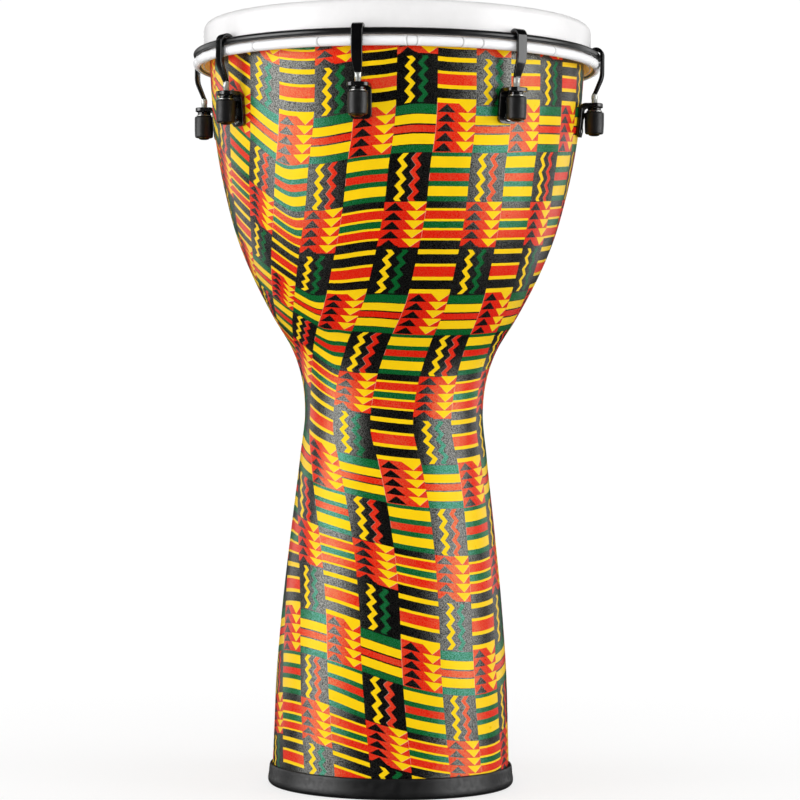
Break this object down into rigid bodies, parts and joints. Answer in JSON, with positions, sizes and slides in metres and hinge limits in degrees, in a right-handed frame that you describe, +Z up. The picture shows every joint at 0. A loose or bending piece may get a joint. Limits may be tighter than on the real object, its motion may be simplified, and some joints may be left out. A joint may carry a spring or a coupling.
{
  "type": "djembe drum",
  "caption": "Goblet-shaped hand drum with a wrapped synthetic head, a rod counter hoop drawn down by hooks and sleeved tuning nuts, and a rubber foot ring.",
  "frame": {"origin": "centre of the foot ring's underside, on the floor", "axes": "+Z up the drum's axis to the head, -Y towards the front"},
  "size_m": [0.3304, 0.3304, 0.6096],
  "materials": {
    "printed_shell": "semi-gloss printed skin",
    "foot_rubber": "matte",
    "head_film": "satin film",
    "hem_film": "satin film",
    "plain_steel": "plain",
    "black_steel": "gloss black",
    "bright_bolt": "bright plated",
    "sleeve_rubber": "satin",
    "brass_nut": "plated"
  },
  "bodies": {
    "shell": {"shell": "printed_shell", "foot_ring": "foot_rubber", "drumhead": "head_film", "lug_bracket_1": "black_steel", "lug_bracket_2": "black_steel", "lug_bracket_3": "black_steel", "lug_bracket_4": "black_steel", "lug_bracket_5": "black_steel", "lug_bracket_6": "black_steel", "lug_bracket_7": "black_steel", "lug_bracket_8": "black_steel", "upper_bolt_1": "bright_bolt", "upper_bolt_2": "bright_bolt", "upper_bolt_3": "bright_bolt", "upper_bolt_4": "bright_bolt", "upper_bolt_5": "bright_bolt", "upper_bolt_6": "bright_bolt", "upper_bolt_7": "bright_bolt", "upper_bolt_8": "bright_bolt", "lower_bolt_1": "bright_bolt", "lower_bolt_2": "bright_bolt", "lower_bolt_3": "bright_bolt", "lower_bolt_4": "bright_bolt", "lower_bolt_5": "bright_bolt", "lower_bolt_6": "bright_bolt", "lower_bolt_7": "bright_bolt", "lower_bolt_8": "bright_bolt"},
    "hoop": {"counter_hoop": "black_steel", "head_hem": "hem_film", "flesh_hoop": "plain_steel"},
    "nut_1": {"tuning_nut_1": "brass_nut", "nut_sleeve_1": "sleeve_rubber"},
    "nut_2": {"tuning_nut_2": "brass_nut", "nut_sleeve_2": "sleeve_rubber"},
    "nut_3": {"tuning_nut_3": "brass_nut", "nut_sleeve_3": "sleeve_rubber"},
    "nut_4": {"tuning_nut_4": "brass_nut", "nut_sleeve_4": "sleeve_rubber"},
    "nut_5": {"tuning_nut_5": "brass_nut", "nut_sleeve_5": "sleeve_rubber"},
    "nut_6": {"tuning_nut_6": "brass_nut", "nut_sleeve_6": "sleeve_rubber"},
    "nut_7": {"tuning_nut_7": "brass_nut", "nut_sleeve_7": "sleeve_rubber"},
    "nut_8": {"tuning_nut_8": "brass_nut", "nut_sleeve_8": "sleeve_rubber"},
    "hook_1": {"tuning_hook_1": "black_steel"},
    "hook_2": {"tuning_hook_2": "black_steel"},
    "hook_3": {"tuning_hook_3": "black_steel"},
    "hook_4": {"tuning_hook_4": "black_steel"},
    "hook_5": {"tuning_hook_5": "black_steel"},
    "hook_6": {"tuning_hook_6": "black_steel"},
    "hook_7": {"tuning_hook_7": "black_steel"},
    "hook_8": {"tuning_hook_8": "black_steel"}
  },
  "joints": [
    {"name": "nut_1_turn", "type": "hinge", "parent": "shell", "child": "nut_1", "pos_m": [-0.02916, -0.15732, 0.531], "axis": [0, 0, 1], "range_deg": [-1800, 1080]},
    {"name": "nut_2_turn", "type": "hinge", "parent": "shell", "child": "nut_2", "pos_m": [0.09062, -0.13186, 0.531], "axis": [0, 0, 1], "range_deg": [-1800, 1080]},
    {"name": "nut_3_turn", "type": "hinge", "parent": "shell", "child": "nut_3", "pos_m": [0.15732, -0.02916, 0.531], "axis": [0, 0, 1], "range_deg": [-1800, 1080]},
    {"name": "nut_4_turn", "type": "hinge", "parent": "shell", "child": "nut_4", "pos_m": [0.13186, 0.09062, 0.531], "axis": [0, 0, 1], "range_deg": [-1800, 1080]},
    {"name": "nut_5_turn", "type": "hinge", "parent": "shell", "child": "nut_5", "pos_m": [0.02916, 0.15732, 0.531], "axis": [0, 0, 1], "range_deg": [-1800, 1080]},
    {"name": "nut_6_turn", "type": "hinge", "parent": "shell", "child": "nut_6", "pos_m": [-0.09062, 0.13186, 0.531], "axis": [0, 0, 1], "range_deg": [-1800, 1080]},
    {"name": "nut_7_turn", "type": "hinge", "parent": "shell", "child": "nut_7", "pos_m": [-0.15732, 0.02916, 0.531], "axis": [0, 0, 1], "range_deg": [-1800, 1080]},
    {"name": "nut_8_turn", "type": "hinge", "parent": "shell", "child": "nut_8", "pos_m": [-0.13186, -0.09062, 0.531], "axis": [0, 0, 1], "range_deg": [-1800, 1080]},
    {"name": "hoop_slide", "type": "slide", "parent": "shell", "child": "hoop", "axis": [0, 0, -1], "range_m": [-0.004, 0.0024]},
    {"name": "hook_1_slide", "type": "slide", "parent": "shell", "child": "hook_1", "axis": [0, 0, -1], "range_m": [-0.004, 0.0024]},
    {"name": "hook_2_slide", "type": "slide", "parent": "shell", "child": "hook_2", "axis": [0, 0, -1], "range_m": [-0.004, 0.0024]},
    {"name": "hook_3_slide", "type": "slide", "parent": "shell", "child": "hook_3", "axis": [0, 0, -1], "range_m": [-0.004, 0.0024]},
    {"name": "hook_4_slide", "type": "slide", "parent": "shell", "child": "hook_4", "axis": [0, 0, -1], "range_m": [-0.004, 0.0024]},
    {"name": "hook_5_slide", "type": "slide", "parent": "shell", "child": "hook_5", "axis": [0, 0, -1], "range_m": [-0.004, 0.0024]},
    {"name": "hook_6_slide", "type": "slide", "parent": "shell", "child": "hook_6", "axis": [0, 0, -1], "range_m": [-0.004, 0.0024]},
    {"name": "hook_7_slide", "type": "slide", "parent": "shell", "child": "hook_7", "axis": [0, 0, -1], "range_m": [-0.004, 0.0024]},
    {"name": "hook_8_slide", "type": "slide", "parent": "shell", "child": "hook_8", "axis": [0, 0, -1], "range_m": [-0.004, 0.0024]}
  ],
  "couplings": [
    {"joint": "hook_1_slide", "follows": "hoop_slide", "ratio": 1},
    {"joint": "hook_2_slide", "follows": "hoop_slide", "ratio": 1},
    {"joint": "hook_3_slide", "follows": "hoop_slide", "ratio": 1},
    {"joint": "hook_4_slide", "follows": "hoop_slide", "ratio": 1},
    {"joint": "hook_5_slide", "follows": "hoop_slide", "ratio": 1},
    {"joint": "hook_6_slide", "follows": "hoop_slide", "ratio": 1},
    {"joint": "hook_7_slide", "follows": "hoop_slide", "ratio": 1},
    {"joint": "hook_8_slide", "follows": "hoop_slide", "ratio": 1},
    {"joint": "nut_1_turn", "follows": "hoop_slide", "rad_per_m": 7854},
    {"joint": "nut_2_turn", "follows": "hoop_slide", "rad_per_m": 7854},
    {"joint": "nut_3_turn", "follows": "hoop_slide", "rad_per_m": 7854},
    {"joint": "nut_4_turn", "follows": "hoop_slide", "rad_per_m": 7854},
    {"joint": "nut_5_turn", "follows": "hoop_slide", "rad_per_m": 7854},
    {"joint": "nut_6_turn", "follows": "hoop_slide", "rad_per_m": 7854},
    {"joint": "nut_7_turn", "follows": "hoop_slide", "rad_per_m": 7854},
    {"joint": "nut_8_turn", "follows": "hoop_slide", "rad_per_m": 7854}
  ]
}
